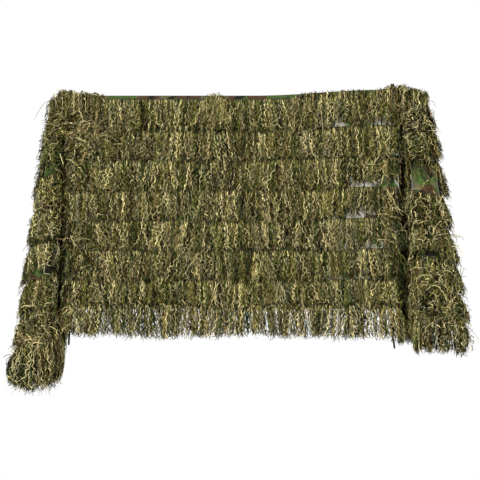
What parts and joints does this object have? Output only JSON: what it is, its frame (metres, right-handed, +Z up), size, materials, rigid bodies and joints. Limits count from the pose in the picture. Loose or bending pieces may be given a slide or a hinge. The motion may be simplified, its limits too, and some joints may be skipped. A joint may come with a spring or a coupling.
{
  "type": "ghillie blanket",
  "caption": "Hanging camouflage cloth sheet covered in sewn rows of yarn fringe, with pleated free ends, hanging loops and tie tapes, for concealment.",
  "frame": {"origin": "middle of the top hem's upper edge, on the cloth's mid-plane", "axes": "+X along the top hem to the viewer's right, -Y is the fringed front, +Y the bare reverse, +Z up"},
  "size_m": [2.0771, 0.5031, 1.3691],
  "materials": {
    "camouflage_cloth": "woven woodland camouflage, matt",
    "bound_hem": "folded and stitched cloth, matt",
    "yarn_olive": "loose synthetic jute yarn",
    "yarn_straw": "loose synthetic jute yarn",
    "yarn_moss": "loose synthetic jute yarn",
    "yarn_bark": "loose synthetic jute yarn",
    "tie_tape": "woven tape"
  },
  "bodies": {
    "panel": {"cloth_main": "camouflage_cloth", "hem_top_main": "bound_hem", "hem_bottom_main": "bound_hem", "fringe_row_1_main": "yarn_olive", "fringe_row_2_main": "yarn_straw", "fringe_row_3_main": "yarn_moss", "fringe_row_4_main": "yarn_bark", "fringe_row_5_main": "yarn_olive", "fringe_row_6_main": "yarn_straw", "fringe_row_7_main": "yarn_moss", "fringe_row_8_main": "yarn_bark", "hang_loop_left": "tie_tape", "hang_loop_right": "tie_tape", "patch_left_inner": "tie_tape", "patch_right_inner": "tie_tape"},
    "left_fall": {"cloth_left_fall": "camouflage_cloth", "hem_top_left_fall": "bound_hem", "hem_bottom_left_fall": "bound_hem", "hem_side_left": "bound_hem", "fringe_row_1_left": "yarn_olive", "fringe_row_2_left": "yarn_straw", "fringe_row_3_left": "yarn_moss", "fringe_row_4_left": "yarn_bark", "fringe_row_5_left": "yarn_olive", "fringe_row_6_left": "yarn_straw", "fringe_row_7_left": "yarn_moss", "fringe_row_8_left": "yarn_bark", "patch_left_corner": "tie_tape"},
    "right_fall": {"cloth_right_fall": "camouflage_cloth", "hem_top_right_fall": "bound_hem", "hem_bottom_right_fall": "bound_hem", "hem_side_right": "bound_hem", "fringe_row_1_right": "yarn_olive", "fringe_row_2_right": "yarn_straw", "fringe_row_3_right": "yarn_moss", "fringe_row_4_right": "yarn_bark", "fringe_row_5_right": "yarn_olive", "fringe_row_6_right": "yarn_straw", "fringe_row_7_right": "yarn_moss", "fringe_row_8_right": "yarn_bark", "patch_right_corner": "tie_tape"},
    "tie_left_inner": {"tie_left_inner": "tie_tape"},
    "tie_right_inner": {"tie_right_inner": "tie_tape"},
    "tie_left_corner": {"tie_left_corner": "tie_tape"},
    "tie_right_corner": {"tie_right_corner": "tie_tape"}
  },
  "joints": [
    {"name": "left_fall_swing", "type": "hinge", "parent": "panel", "child": "left_fall", "pos_m": [-0.75, 0, -0.48], "axis": [0, 0, 1], "range_deg": [-30, 5]},
    {"name": "right_fall_swing", "type": "hinge", "parent": "panel", "child": "right_fall", "pos_m": [0.75, 0, -0.48], "axis": [0, 0, 1], "range_deg": [-5, 30]},
    {"name": "tie_left_inner_swing", "type": "hinge", "parent": "panel", "child": "tie_left_inner", "pos_m": [-0.729, 0.0038, -0.951], "axis": [1, 0, 0], "range_deg": [0, 18]},
    {"name": "tie_right_inner_swing", "type": "hinge", "parent": "panel", "child": "tie_right_inner", "pos_m": [0.718, 0.0038, -0.95074], "axis": [1, 0, 0], "range_deg": [0, 10]},
    {"name": "tie_left_corner_swing", "type": "hinge", "parent": "left_fall", "child": "tie_left_corner", "pos_m": [-0.93426, 0.00349, -1.18574], "axis": [-0.6949, -0.7191, 0], "range_deg": [0, 35]},
    {"name": "tie_right_corner_swing", "type": "hinge", "parent": "right_fall", "child": "tie_right_corner", "pos_m": [1.02421, -0.06145, -1.02548], "axis": [0.4177, 0.9086, 0], "range_deg": [0, 35]}
  ]
}
